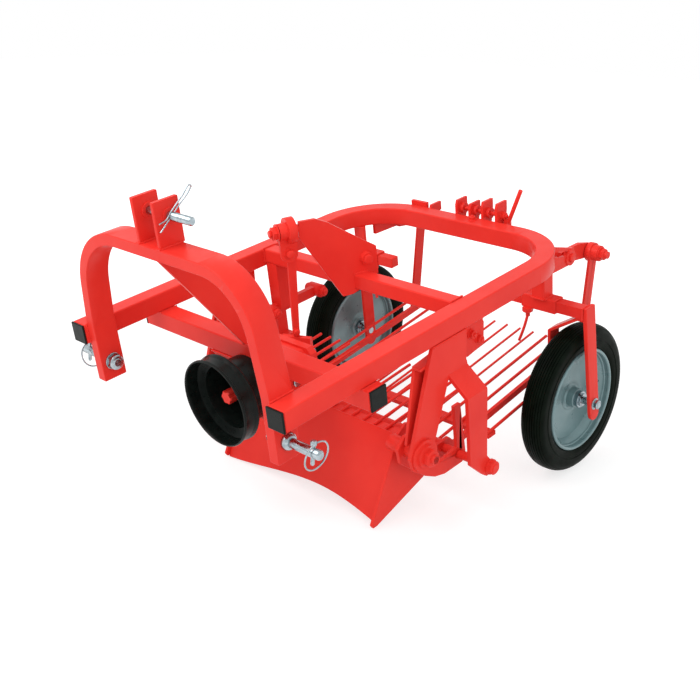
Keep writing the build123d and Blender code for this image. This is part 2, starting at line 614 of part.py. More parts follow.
def sieve_rail(side):
    """Side rail with a lug up to the front pivot."""
    front, rear = SIEVE_PIVOT_Y, SIEVE_REAR_Y + 20
    outline = [(front - 24, sieve_z(front) - RAIL_HALF), (rear, sieve_z(rear) - RAIL_HALF),
               (rear, sieve_z(rear) + RAIL_HALF), (front + 44, sieve_z(front + 44) + RAIL_HALF),
               (front + 22, SIEVE_PIVOT_Z + 20), (front - 24, SIEVE_PIVOT_Z + 20)]
    inner = SIEVE_HALF - RAIL_THICK
    bore = rod_x(inner, SIEVE_HALF, SIEVE_REAR_Y, SIEVE_REAR_Z, SIEVE_BOLT_R)
    return mirrored(side_plate(outline, inner, SIEVE_HALF) - bore, side)


def sieve():
    """Rods under a front tube and on a middle bar, between two side rails."""
    front = (SIEVE_PIVOT_Y, SIEVE_PIVOT_Z)
    solid = sieve_rail(LEFT) + sieve_rail(RIGHT) + rod_x(-SIEVE_HALF, SIEVE_HALF, *front, FRONT_TUBE_R)
    bar_top = sieve_z(BAR_FRONT) - THICK_ROD_R + 3
    solid += box(-BAR_HALF, BAR_HALF, BAR_FRONT, BAR_FRONT + BAR_DEPTH, bar_top - BAR_THICK, bar_top)
    for place in (-OUTER_ROD, *range(-INNER_RODS, INNER_RODS + 1), OUTER_ROD):
        x = place * SIEVE_PITCH
        start = BAR_FRONT if abs(place) == OUTER_ROD else SIEVE_PIVOT_Y - FRONT_TUBE_R
        radius = THIN_ROD_R if abs(place) <= THIN_RODS else THICK_ROD_R
        solid += rod((x, start, sieve_z(start)), (x, SIEVE_TIP_Y, sieve_z(SIEVE_TIP_Y)), radius)
    return solid - rod_x(-SIEVE_HALF, SIEVE_HALF, *front, PIN_R + PLAY)


def sieve_rear_pin(side):
    """Pin on the rear end of a side rail, for the tail link."""
    rear = (SIEVE_REAR_Y, SIEVE_REAR_Z)
    pin = rod_x(SIEVE_HALF, LINK_X + LINK_THICK + 4, *rear, LINK_PIN_R)
    return mirrored(pin + rod_x(SIEVE_HALF - RAIL_THICK, SIEVE_HALF, *rear, SIEVE_BOLT_R), side)


def sieve_pin(side):
    front = (SIEVE_PIVOT_Y, SIEVE_PIVOT_Z)
    leg = LEG_X + HANGER_THICK
    pin = rod_x(SIEVE_HALF - SIEVE_PIN_LAP, leg + 20, *front, PIN_R)
    for start, end, radius in SIEVE_PIN_DISCS:
        pin += rod_x(leg + start, leg + end, *front, radius)
    return mirrored(pin, side)


def share_pin(side):
    """Pivot bolt with spacers inside the hanger, and two discs and a nut outside it."""
    centre = (SHARE_PIVOT_Y, SHARE_PIVOT_Z)
    cheek, face = TIP_X + SHARE_THICK, HANGER_X + HANGER_THICK
    pin = rod_x(cheek, SHARE_BOLT_END, *centre, PIN_R)
    pin += rod_x(cheek, SHARE_ARM_X, *centre, SPACER_R)
    pin += rod_x(SHARE_ARM_X + SHARE_ARM_THICK, HANGER_X, *centre, SPACER_R)
    for start, end, radius in SHARE_PIN_DISCS:
        pin += rod_x(face + start, face + end, *centre, radius)
    return mirrored(pin, side)


parts["rear_sieve"] = sieve()
parts["sieve_rear_pins"] = both_sides(sieve_rear_pin)
parts["sieve_pins"] = both_sides(sieve_pin)
parts["share_pins"] = both_sides(share_pin)

# ---- tail lever, rear arms and links ------------------------------------------------
SHAFT_Y = 1104.0
SHAFT_Z = -72.0
SHAFT_RADIUS = 10.0
TAIL_Y = 1223.0            # pins at the ends of the rear arms
TAIL_Z = -98.0
TAIL_ARM_X = 286.0         # inner face of the rear arms
TAIL_ARM_THICK = 12.0
TAIL_PIN_END = 360.0
CORNER_X = 305.0           # inner face of the brackets under the frame's corners
TAIL_ARM_OUTLINE = ((SHAFT_Y - 16, SHAFT_Z - 18), (TAIL_Y + 14, TAIL_Z - 20), (TAIL_Y + 14, TAIL_Z + 20),
                    (TAIL_Y - 40, TAIL_Z + 37), (SHAFT_Y + 16, SHAFT_Z + 14), (SHAFT_Y - 16, SHAFT_Z + 14))
LEVER_BASE = (111.0, 6.0, 10.0, 2.0)     # middle x, half width, half depth and top
LEVER_START = (111.0, SHAFT_Y, -16.0)
LEVER_END = (157.0, SHAFT_Y, 90.0)
LEVER_R = 6.0
LINK_HALF = 18.0                         # half the tail links' width
# eyes round the arms' pins: start and end from the link's inner face, and radius
LINK_EYES = ((-8.0, 8.0, 27.0), (8.0, 28.0, 22.0))
OPEN_PLAY = 4.0                          # the links' lower holes are this much wider than their pins


def tail_rocker():
    """Cross shaft behind the frame with two arms for the links and a hand lever."""
    shaft_end = CORNER_X + 20
    solid = rod_x(-shaft_end, shaft_end, SHAFT_Y, SHAFT_Z, SHAFT_RADIUS)
    for _, side in SIDES:
        arm = side_plate(TAIL_ARM_OUTLINE, TAIL_ARM_X, TAIL_ARM_X + TAIL_ARM_THICK)
        solid += mirrored(arm + rod_x(TAIL_ARM_X, TAIL_PIN_END, TAIL_Y, TAIL_Z, LINK_PIN_R), side)
    x, half_width, half_depth, top = LEVER_BASE
    solid += box(x - half_width, x + half_width, SHAFT_Y - half_depth, SHAFT_Y + half_depth, SHAFT_Z, top)
    return solid + rod(LEVER_START, LEVER_END, LEVER_R)


def tail_link(side):
    """Flat bar with an eye tube on the rear arm's pin and a wide hole for the sieve's pin."""
    foot = SIEVE_REAR_Z - LINK_HALF - 4
    bar = [(TAIL_Y - LINK_HALF, TAIL_Z), (TAIL_Y + LINK_HALF, TAIL_Z), (SIEVE_REAR_Y + LINK_HALF, foot),
           (SIEVE_REAR_Y - LINK_HALF, foot)]
    solid = side_plate(bar, LINK_X, LINK_X + LINK_THICK)
    for start, end, radius in LINK_EYES:
        solid += rod_x(LINK_X + start, LINK_X + end, TAIL_Y, TAIL_Z, radius)
    solid -= rod_x(TAIL_ARM_X, TAIL_PIN_END, TAIL_Y, TAIL_Z, LINK_PIN_R + PLAY)
    solid -= rod_x(TAIL_ARM_X, TAIL_PIN_END, SIEVE_REAR_Y, SIEVE_REAR_Z, LINK_PIN_R + OPEN_PLAY)
    return mirrored(solid, side)


# upright plates behind the frame's rear tube: middle x and height of the flat top
ADJUSTER_PLATES = ((-145.0, 7.0), (-46.0, 38.0), (1.0, 34.0), (46.0, 47.0), (94.0, 49.0))
ADJUSTER_HALF = 4.0              # half their thickness
ADJUSTER_REAR = 1120.0
# lower rear edge of those plates, in y and z
ADJUSTER_EDGE = ((1112.0, -20.0), (1118.0, -50.0), (1118.0, -80.0), (1113.0, -86.0), (1100.0, -86.0),
                 (1092.0, -80.0))
ADJUSTER_BOLT = (1099.0, 10.0)   # y and z of the bolt through the four upper plates
ADJUSTER_BOLT_R, ADJUSTER_BOSS_R = 6.0, 15.0
REAR_STOP = (-216.0, -158.0, FRAME_LENGTH, FRAME_LENGTH + 10, -40.0, 12.0)   # small bar beside them
# outlines of the brackets under the frame's rear corners and of the straps over them, in y and z
BRACKET_OUTLINE = ((1001.0, -TUBE), (1040.0, -TUBE), (1062.0, -58.0), (1096.0, -62.0), (1096.0, -93.0),
                   (1001.0, -89.0))
STRAP_OUTLINE = ((1015.0, -14.0), (1040.0, -22.0), (1085.0, -38.0), (1124.0, -52.0), (1118.0, -60.0),
                 (1080.0, -46.0), (1040.0, -33.0), (1015.0, -26.0))
CORNER_THICK = 10.0
CORNER_BOSS_R, CORNER_BOSS = 22.0, 14.0
tail_shaft_bore = rod_x(-FRAME_HALF, FRAME_HALF, SHAFT_Y, SHAFT_Z, SHAFT_RADIUS + PLAY)


def adjuster_plate(x, top):
    outline = [(FRAME_LENGTH, -48), (FRAME_LENGTH, top - 14), (FRAME_LENGTH + 5, top), (ADJUSTER_REAR, top),
               (ADJUSTER_REAR, top - 25), *ADJUSTER_EDGE]
    return side_plate(outline, x - ADJUSTER_HALF, x + ADJUSTER_HALF) - tail_shaft_bore


def adjuster_plates():
    """Upright plates on the back of the frame that carry the tail shaft, the upper four on one bolt."""
    lowest, *upper = ADJUSTER_PLATES
    first, last = upper[0][0], upper[-1][0]
    joined = rod_x(first - 8, last + 6, *ADJUSTER_BOLT, ADJUSTER_BOLT_R)
    for x, top in upper:
        joined += adjuster_plate(x, top)
        if x < last:
            joined += rod_x(x + ADJUSTER_HALF, x + ADJUSTER_HALF + 10, *ADJUSTER_BOLT, ADJUSTER_BOSS_R)
    return Compound([adjuster_plate(*lowest), joined, box(*REAR_STOP)])


def corner_bracket(side):
    """Plate under the frame's rear corner with a boss for the tail shaft, and a strap over it."""
    solid = side_plate(BRACKET_OUTLINE, CORNER_X, CORNER_X + CORNER_THICK)
    solid += side_plate(STRAP_OUTLINE, CORNER_X, CORNER_X + CORNER_THICK)
    solid += rod_x(CORNER_X, CORNER_X + CORNER_BOSS, SHAFT_Y, SHAFT_Z, CORNER_BOSS_R)
    frame_solid = Pos(0, 0, -TUBE) * u_outline(0, TUBE)
    return mirrored(solid - frame_solid - tail_shaft_bore, side)


parts["tail_rocker"] = tail_rocker()
for name, side in SIDES:
    parts[f"tail_link_{name}"] = tail_link(side)
parts["adjuster_plates"] = adjuster_plates()
parts["corner_brackets"] = both_sides(corner_bracket)

# ---- stance and export --------------------------------------------------------------
# the machine stands on the lowest corner of its cheeks and on its tyres
reach = math.hypot(WHEEL_Y - CHEEK_LOW_Y, WHEEL_Z - CHEEK_LOW_Z)
PITCH = math.degrees(math.asin(TYRE_R / reach) - math.atan2(WHEEL_Z - CHEEK_LOW_Z, WHEEL_Y - CHEEK_LOW_Y))
turned = {name: Rot(PITCH, 0, 0) * solid for name, solid in parts.items()}
whole = Compound(list(turned.values())).bounding_box()
SHIFT = (0.0, -(whole.min.Y + whole.max.Y) / 2, -whole.min.Z)
print("pitch", round(PITCH, 4), "shift", [round(v, 3) for v in SHIFT])

os.makedirs("parts", exist_ok=True)
for name, solid in turned.items():
    placed = Pos(*SHIFT) * solid
    export_step(placed, f"parts/{name}.step")
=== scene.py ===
"""Looks of the mounted potato digger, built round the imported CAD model.

Pieces are drawn in the machine's own level frame, in millimetres: +X to its left side,
+Y to the rear, z = 0 on top of the main frame. LEVEL turns and scales them into place.
"""
import json
import math

import bmesh
import bpy
from mathutils import Matrix, Vector


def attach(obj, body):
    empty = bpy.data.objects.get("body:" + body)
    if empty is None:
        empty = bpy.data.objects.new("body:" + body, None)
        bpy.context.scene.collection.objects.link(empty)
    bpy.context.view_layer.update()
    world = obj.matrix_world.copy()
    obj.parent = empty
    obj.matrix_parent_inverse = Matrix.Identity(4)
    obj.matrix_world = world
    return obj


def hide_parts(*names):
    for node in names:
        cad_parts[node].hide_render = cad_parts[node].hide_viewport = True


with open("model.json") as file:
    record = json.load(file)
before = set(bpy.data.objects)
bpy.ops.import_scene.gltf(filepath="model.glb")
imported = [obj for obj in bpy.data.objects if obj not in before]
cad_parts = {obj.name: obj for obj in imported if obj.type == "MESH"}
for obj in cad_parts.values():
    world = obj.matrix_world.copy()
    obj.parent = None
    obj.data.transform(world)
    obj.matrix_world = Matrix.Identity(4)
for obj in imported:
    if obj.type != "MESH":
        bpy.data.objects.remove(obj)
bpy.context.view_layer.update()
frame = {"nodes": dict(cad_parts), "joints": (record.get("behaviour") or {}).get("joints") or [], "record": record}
NODES = frame["nodes"]
JOINTS = {joint["name"]: joint for joint in frame["joints"]}
SIDES = (("left", 1), ("right", -1))
MM = 0.001


# ---- the machine's level frame --------------------------------------------------------
def level_frame():
    """Matrix from level millimetres to the row frame, from the drive axis and the main frame's corner."""
    axis = JOINTS["pto_spin"]["axis"]
    turn = Matrix.Rotation(math.atan2(axis[2], axis[1]), 4, "X")
    corners = [turn.inverted() @ v.co for v in NODES["main_frame"].data.vertices]
    origin = Vector((0, min(c.y for c in corners), max(c.z for c in corners)))
    return turn @ Matrix.Translation(origin) @ Matrix.Scale(MM, 4)


LEVEL = level_frame()
TO_LEVEL = LEVEL.inverted()


def level_box(node):
    """Lowest and highest corner of a CAD node in the level frame."""
    points = [TO_LEVEL @ v.co for v in NODES[node].data.vertices]
    low = Vector([min(p[i] for p in points) for i in range(3)])
    return low, Vector([max(p[i] for p in points) for i in range(3)])


def half_size(node):
    """Half of a CAD node's size in the level frame."""
    low, high = level_box(node)
    return (high - low) / 2


def pivot(joint):
    """A joint's place in the level frame."""
    return TO_LEVEL @ Vector(JOINTS[joint]["pos_m"])


# ---- materials ------------------------------------------------------------------------
class Nodes:
    """A material's node tree, with one line a node."""

    def __init__(self, name):
        self.material = bpy.data.materials.new(name)
        self.material.use_nodes = True
        self.tree = self.material.node_tree
        self.shader = self.tree.nodes["Principled BSDF"]
        self.place = self.add("ShaderNodeTexCoord").outputs["Object"]

    def add(self, kind, **settings):
        """New node with its settings."""
        node = self.tree.nodes.new(kind)
        for key, value in settings.items():
            setattr(node, key, value)
        return node

    def link(self, start, end):
        """Link from an output to an input."""
        self.tree.links.new(start, end)

    def noise(self, scale, detail=4.0, stretch=None):
        """Noise in the range 0 to 1 whose grains are about 1 / scale metres."""
        node = self.add("ShaderNodeTexNoise")
        node.inputs["Scale"].default_value = scale
        node.inputs["Detail"].default_value = detail
        place = self.place
        if stretch:
            mapping = self.add("ShaderNodeMapping")
            mapping.inputs["Scale"].default_value = stretch
            self.link(place, mapping.inputs["Vector"])
            place = mapping.outputs["Vector"]
        self.link(place, node.inputs["Vector"])
        return node.outputs["Fac"]

    def ramp(self, value, *stops):
        """Value mapped through two colour stops, (place, colour) each."""
        node = self.add("ShaderNodeValToRGB")
        for stop, (place, colour) in zip(node.color_ramp.elements, stops):
            stop.position = place
            stop.color = (*colour, 1.0)
        self.link(value, node.inputs["Fac"])
        return node.outputs["Color"]

    def span(self, value, low, high, start=0.35, end=0.65):
        """Value's part from start to end spread over low to high."""
        node = self.add("ShaderNodeMapRange")
        for key, number in (("From Min", start), ("From Max", end), ("To Min", low), ("To Max", high)):
            node.inputs[key].default_value = number
        self.link(value, node.inputs["Value"])
        return node.outputs["Result"]

    def mix(self, factor, first, second):
        """Blend of two colours, each a socket or three numbers."""
        node = self.add("ShaderNodeMix", data_type="RGBA")
        self.link(factor, node.inputs["Factor"])
        for socket, colour in ((node.inputs[6], first), (node.inputs[7], second)):
            if isinstance(colour, tuple):
                socket.default_value = (*colour, 1.0)
            else:
                self.link(colour, socket)
        return node.outputs[2]

    def bump(self, height, strength, distance, under=None):
        """Normal that follows the height, on top of another bump where one is given."""
        node = self.add("ShaderNodeBump")
        node.inputs["Strength"].default_value = strength
        node.inputs["Distance"].default_value = distance
        self.link(height, node.inputs["Height"])
        if under:
            self.link(under, node.inputs["Normal"])
        return node.outputs["Normal"]

    def finish(self, colour, roughness, normal, **constants):
        """Links the shader and sets its constant sockets, named with _ for a space."""
        self.link(colour, self.shader.inputs["Base Color"])
        self.link(roughness, self.shader.inputs["Roughness"])
        self.link(normal, self.shader.inputs["Normal"])
        for key, value in constants.items():
            self.shader.inputs[key.replace("_", " ")].default_value = value
        return self.material


def paint():
    """Red powder coat with faint changes of shade, orange peel and thin dust in places."""
    n = Nodes("red_paint")
    shade = n.ramp(n.noise(5.0), (0.3, (0.75, 0.030, 0.022)), (0.7, (0.84, 0.042, 0.029)))
    dust = n.span(n.noise(34.0, 8.0), 0.0, 0.03, start=0.55, end=0.8)
    colour = n.mix(dust, shade, (0.78, 0.20, 0.15))
    peel = n.bump(n.noise(420.0, 2.0), strength=0.07, distance=0.0005)
    waves = n.bump(n.noise(60.0, 2.0), strength=0.04, distance=0.002, under=peel)
    rough = n.span(n.noise(24.0), 0.30, 0.38)
    return n.finish(colour, rough, waves, Specular_IOR_Level=0.10, Coat_Weight=0.04, Coat_Roughness=0.14)


# spots, patches and grain are noises (scale, detail, stretch); dark and light are colour stops (place,
# colour), relief is the grain's bump (strength, distance) and shader holds the constant sockets
PLAIN_FINISHES = {
    "tyre_rubber": {
        "spots": (30.0, 6.0), "dark": (0.3, (0.0018, 0.0034, 0.0020)),
        "light": (0.75, (0.0048, 0.0086, 0.0052)), "patches": (45.0, 4.0), "rough": (0.34, 0.46),
        "grain": (900.0, 3.0), "relief": (0.14, 0.0005), "shader": {"Specular_IOR_Level": 0.03}},
    "black_plastic": {
        "spots": (50.0, 6.0), "dark": (0.3, (0.0026, 0.0040, 0.0034)),
        "light": (0.75, (0.0075, 0.0110, 0.0095)), "patches": (60.0, 4.0), "rough": (0.26, 0.38),
        "grain": (1300.0, 2.0), "relief": (0.12, 0.0004), "shader": {"Specular_IOR_Level": 0.13}},
    "rim_grey": {
        "spots": (16.0, 6.0), "dark": (0.3, (0.15, 0.245, 0.255)),
        "light": (0.7, (0.20, 0.305, 0.32)), "patches": (30.0, 4.0), "rough": (0.26, 0.38),
        "grain": (500.0, 2.0), "relief": (0.07, 0.0005), "shader": {"Metallic": 0.2, "Coat_Weight": 0.05}},
    "zinc_steel": {
        "spots": (90.0, 5.0), "dark": (0.3, (0.27, 0.33, 0.36)),
        "light": (0.7, (0.47, 0.53, 0.56)), "patches": (120.0, 4.0), "rough": (0.16, 0.30),
        "grain": (240.0, 3.0, (1.0, 9.0, 9.0)), "relief": (0.10, 0.0005), "shader": {"Metallic": 1.0}},
}


def plain_finish(name, spots, dark, light, patches, rough, grain, relief, shader):
    """Colour between dark and light in spots, roughness in patches, and a fine grain."""
    n = Nodes(name)
    colour = n.ramp(n.noise(*spots), dark, light)
    return n.finish(colour, n.span(n.noise(*patches), *rough), n.bump(n.noise(*grain), *relief), **shader)


MATERIALS = {name: plain_finish(name, **columns) for name, columns in PLAIN_FINISHES.items()}
MATERIALS["red_paint"] = paint()


# ---- building pieces ------------------------------------------------------------------
THREAD_PITCH = 1.75
WASHER_TO_FLATS = 0.72     # a washer's radius as part of its bolt's size across flats
WELD_SWELL = (1.0, 1.12, 0.94, 1.06, 0.9, 1.1, 1.0, 0.92)
WELD_STEP = 4.0            # length of a ripple in a weld bead
WELD_R = 2.4


def facing(place, direction):
    """Matrix at place whose local z runs along direction, with its y as near upright as can be."""
    z = Vector(direction).normalized()
    y = Vector((0, 0, 1)) - z * z.z
    if y.length < 1e-6:
        y = Vector((0, 1, 0)) - z * z.y
    y.normalize()
    return Matrix.Translation(Vector(place)) @ Matrix((y.cross(z), y, z)).transposed().to_4x4()


def piece(name, bm, body, slot, replaces=(), smooth_angle=40.0):
    """Makes the object from a mesh drawn in the level frame, and rides it on its body."""
    bmesh.ops.remove_doubles(bm, verts=bm.verts, dist=1e-4)
    bmesh.ops.recalc_face_normals(bm, faces=bm.faces)
    limit = math.radians(smooth_angle)
    for face in bm.faces:
        face.smooth = True
    for edge in bm.edges:
        edge.smooth = len(edge.link_faces) == 2 and edge.calc_face_angle(0.0) < limit
    bm.transform(LEVEL)
    mesh = bpy.data.meshes.new(name)
    bm.to_mesh(mesh)
    bm.free()
    made = bpy.data.objects.new(name, mesh)
    bpy.context.scene.collection.objects.link(made)
    mesh.materials.append(MATERIALS[slot])
    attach(made, body)
    if replaces:
        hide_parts(*replaces)


def around(count, start=0.0):
    """Cosine and sine of equal turns, once round."""
    turns = [start + 2 * math.pi * k / count for k in range(count)]
    return [(math.cos(turn), math.sin(turn)) for turn in turns]


def skin(bm, rings, closed=False):
    """Quads between equal rings of vertices. The last ring joins the first, or both get flat ends."""
    for low, high in zip(rings, rings[1:] + rings[:1] if closed else rings[1:]):
        for i in range(len(low)):
            j = (i + 1) % len(low)
            bm.faces.new((low[i], low[j], high[j], high[i]))
    if not closed:
        bm.faces.new(rings[0])
        bm.faces.new(rings[-1])


def lathe(bm, matrix, profile, segments=48, closed=True):
    """Profile of (along, radius) turned about the matrix's z axis. An open profile gets flat ends."""
    rings = []
    for along, radius in profile:
        points = [Vector((radius * c, radius * s, along)) for c, s in around(segments)]
        rings.append([bm.verts.new(matrix @ point) for point in points])
    skin(bm, rings, closed)


def slab(bm, matrix, outline, depth):
    """Outline in the matrix's xy plane, as thick as depth along its z."""
    skin(bm, [[bm.verts.new(matrix @ Vector((x, y, z))) for x, y in outline] for z in (0, depth)])


def block(bm, low, high, cut=0.0):
    """Box between two corners with its four lengthwise edges cut, along y."""
    (x0, y0, z0), (x1, y1, z1) = low, high
    outline = [(x0 + cut, z0), (x1 - cut, z0), (x1, z0 + cut), (x1, z1 - cut), (x1 - cut, z1),
               (x0 + cut, z1), (x0, z1 - cut), (x0, z0 + cut)]
    along_y = Matrix(((1, 0, 0, 0), (0, 0, 1, y0), (0, 1, 0, 0), (0, 0, 0, 1)))
    slab(bm, along_y, outline, y1 - y0)


def sweep(bm, points, radius, segments=10, swell=(1.0,)):
    """Round bar along the points. Swell gives a factor for the radius at each point in turn."""
    rings = []
    side = None
    for i, point in enumerate(points):
        before = points[max(i - 1, 0)]
        after = points[min(i + 1, len(points) - 1)]
        along = (after - before).normalized()
        if side is None:
            side = along.orthogonal().normalized()
        side = (side - along * side.dot(along)).normalized()
        other = along.cross(side)
        wide = radius * swell[i % len(swell)]
        rings.append([bm.verts.new(point + wide * (side * c + other * s)) for c, s in around(segments)])
    skin(bm, rings)


def hexagon(bm, place, direction, across, height):
    """Hexagon head or nut with a chamfered top, standing on its place."""
    axis = facing(place, direction)
    corner = across / math.sqrt(3)
    flats = height * 0.82
    slab(bm, axis, [(corner * c, corner * s) for c, s in around(6, math.radians(15))], flats)
    chamfer = [(flats, corner * 0.96), (height * 0.94, corner * 0.90), (height, corner * 0.82)]
    lathe(bm, axis, chamfer, 24, False)


def washer(bm, place, direction, outer, inner, thick):
    """Washer or sleeve with a chamfered outer edge."""
    edge = min(0.8, thick * 0.3)
    profile = [(0, inner), (0, outer), (thick - edge, outer), (thick, outer - edge), (thick, inner)]
    lathe(bm, facing(place, direction), profile, 40)


def bolt_head(bm, place, direction, across, washer_thick):
    """Hexagon head on a washer."""
    washer(bm, place, direction, across * WASHER_TO_FLATS, across * 0.2, washer_thick)
    seat = Vector(place) + Vector(direction).normalized() * washer_thick
    hexagon(bm, seat, direction, across, across * 0.6)


def threaded_end(bm, place, direction, radius, length):
    """Bolt end with thread ridges and a chamfered tip."""
    profile = [(0, radius)]
    for k in range(int((length - 2) / THREAD_PITCH)):
        start = k * THREAD_PITCH
        profile += [(start + THREAD_PITCH / 2, radius * 0.88), (start + THREAD_PITCH, radius)]
    profile.append((length, radius * 0.78))
    lathe(bm, facing(place, direction), profile, 18, False)


def nut(bm, place, direction, across, height, radius, proud, washer_thick):
    """Nut on a washer, if it has one, with the bolt's end standing proud of it."""
    if washer_thick:
        washer(bm, place, direction, across * WASHER_TO_FLATS, radius * 0.9, washer_thick)
    unit = Vector(direction).normalized()
    seat = Vector(place) + unit * washer_thick
    hexagon(bm, seat, direction, across, height)
    if proud:
        threaded_end(bm, seat + unit * (height - 1), direction, radius, proud + 1)


def weld(bm, path):
    """Rippled bead along straight runs between the points."""
    points = [Vector(p) for p in path]
    dense = [points[0]]
    for start, end in zip(points, points[1:]):
        count = max(1, round((end - start).length / WELD_STEP))
        dense += [start.lerp(end, k / count) for k in range(1, count + 1)]
    sweep(bm, dense, WELD_R, 8, WELD_SWELL)


# ---- CAD nodes that stay --------------------------------------------------------------
EDGE_RADIUS = 2.2
TUBE_EDGES = {"main_frame": 4.5, "front_cross_tube": 4.5, "middle_crossbar": 4.0, "crossbar_posts": 3.0,
              "wheel_arm_left": 3.0, "wheel_arm_right": 3.0, "wheel_posts": 2.5}   # rounder, in mm
BEVEL_ANGLE = math.radians(42)                                # edges sharper than this are rounded
MERGE_DISTANCE = 0.02 * MM
ROUND_NODES = {"share_grate", "rear_sieve", "sieve_rear_pins"}   # round bars, left as they are


def dress_cad_nodes():
    """Every CAD node gets its finish, and all but the round bars get soft edges."""
    slots = {part["node"]: part["material_slot"] for part in frame["record"]["subparts"]}
    for name, node in NODES.items():
        node.material_slots[0].material = MATERIALS[slots[name]]
        if name in ROUND_NODES:
            continue
        merge = node.modifiers.new("weld", "WELD")
        merge.merge_threshold = MERGE_DISTANCE
        bevel = node.modifiers.new("edges", "BEVEL")
        bevel.width = TUBE_EDGES.get(name, EDGE_RADIUS) * MM
        bevel.segments = 3 if name in TUBE_EDGES else 2
        bevel.limit_method = "ANGLE"
        bevel.angle_limit = BEVEL_ANGLE
        bevel.harden_normals = True


dress_cad_nodes()


# ---- wheels ---------------------------------------------------------------------------
GROOVES = (4.0, 10.5, 17.0, 23.0, 28.0)   # places of the tread's grooves on each side of its middle
GROOVE_HALF, GROOVE_FLOOR_HALF, GROOVE_DEPTH = 1.3, 0.3, 2.4
CROWN_DROP, CROWN_POWER = 17.0, 3.2       # how far and how fast the tread falls towards its shoulders
RIM_HALF, HUB_R = 30.0, 27.0
HUB_BRIGHT = 18.0          # how far each bare end of the hub stands out of its painted middle
HUB_CAP = 7.0              # length of the narrower cap at its end
DISC_INSET = 10.0          # how far the disc lies towards the machine
AXLE_PLAY = 0.4
VALVE_R = 112.0            # how far the valve stands from the axle
VALVE_STEM = ((0, 7), (3, 7), (5, 4.5), (10, 4), (11, 4.6), (17, 4.6), (18, 3.6))   # along, radius


def mirror(profile):
    """The same profile on the other side of the wheel's middle."""
    return [(-along, radius) for along, radius in profile]


def tyre_profile(half, outer, bead):
    """Crowned tread with fine grooves over plain walls, as (along, radius), from bead to bead."""
    def crown(along):
        return outer - CROWN_DROP * (along / half) ** CROWN_POWER

    side = [(half - 7, bead - 1), (half - 3, bead + 4), (half - 0.8, bead + 12), (half - 0.3, bead + 20),
            (half - 1.6, bead + 22), (half - 1.6, bead + 24), (half, bead + 26), (half, bead + 36),
            (half - 0.6, bead + 44), (half - 2.4, crown(half - 2.4) - 2.0)]
    for place in reversed(GROOVES):
        floor = crown(place) - GROOVE_DEPTH
        side += [(place + GROOVE_HALF, crown(place + GROOVE_HALF)), (place + GROOVE_FLOOR_HALF, floor),
                 (place - GROOVE_FLOOR_HALF, floor), (place - GROOVE_HALF, crown(place - GROOVE_HALF))]
    return side + mirror(reversed(side))


def rim_profile(half, outer, hub_half, hub):
    """Rolled lips, a stepped barrel, a dished disc and a hub tube, as (along, radius)."""
    lip = [(half + 0.5, outer - 1), (half + 2.8, outer - 3), (half + 3.3, outer - 6),
           (half + 1.5, outer - 9), (half - 2, outer - 10), (half - 4, outer - 8.5)]
    barrel = [(half - 12, outer - 9), (half - 14, outer - 11.5), (half - 17, outer - 12),
              (half - 20, outer - 13.5), (half - 23, outer - 17)]
    disc = [(4.5, outer - 24), (3, outer - 34), (3, hub + 38), (5.5, hub + 24), (6, hub + 14),
            (3.5, hub + 10), (4, hub + 4), (7, hub + 0.5)]
    tube = [(hub_half - 1.5, hub), (hub_half, hub - 1.5)]
    front, back = ([(along - DISC_INSET, r) for along, r in face] for face in (disc, mirror(disc)))
    outside = lip + barrel + front + tube
    return outside[::-1] + mirror(lip + barrel) + back + mirror(tube)


def wheel(name, side):
    """Grooved tyre, pressed rim with a hub, the hub's bright ends and a valve."""
    body = f"wheel_{name}"
    centre = pivot(f"{body}_spin")
    axis = facing(centre, (side, 0, 0))
    tyre, rim = half_size(f"tyre_{name}"), half_size(f"rim_{name}")
    bore = half_size(f"axle_{name}").z + AXLE_PLAY
    painted = rim.x - HUB_BRIGHT
    bm = bmesh.new()
    lathe(bm, axis, tyre_profile(tyre.x, tyre.z, rim.z), 128)
    piece(f"grooved_tyre_{name}", bm, body, "tyre_rubber", [f"tyre_{name}"], 28)
    bm = bmesh.new()
    section = rim_profile(RIM_HALF, rim.z, painted, HUB_R)
    lathe(bm, axis, [(painted, bore), *section, (-painted, bore)], 96)
    piece(f"pressed_rim_{name}", bm, body, "rim_grey", [f"rim_{name}"], 35)
    bm = bmesh.new()
    for out in (Vector((side, 0, 0)), Vector((-side, 0, 0))):
        washer(bm, centre + out * (painted - 1), out, HUB_R - 4, bore, HUB_BRIGHT - HUB_CAP + 2)
        washer(bm, centre + out * (rim.x - HUB_CAP), out, HUB_R - 9, bore, HUB_CAP)
    piece(f"hub_ends_{name}", bm, body, "zinc_steel")
    bm = bmesh.new()
    foot = centre + Vector((side * (2 - DISC_INSET), VALVE_R, 0))
    lathe(bm, facing(foot, (side, 0, 0)), VALVE_STEM, 20, False)
    piece(f"valve_{name}", bm, body, "zinc_steel")


for name, side in SIDES:
    wheel(name, side)


# ---- drive shaft guard ----------------------------------------------------------------
GUARD_WALL = 3.5
GUARD_SEAL_R = 30.0        # bore of the ring in the neck's rear end


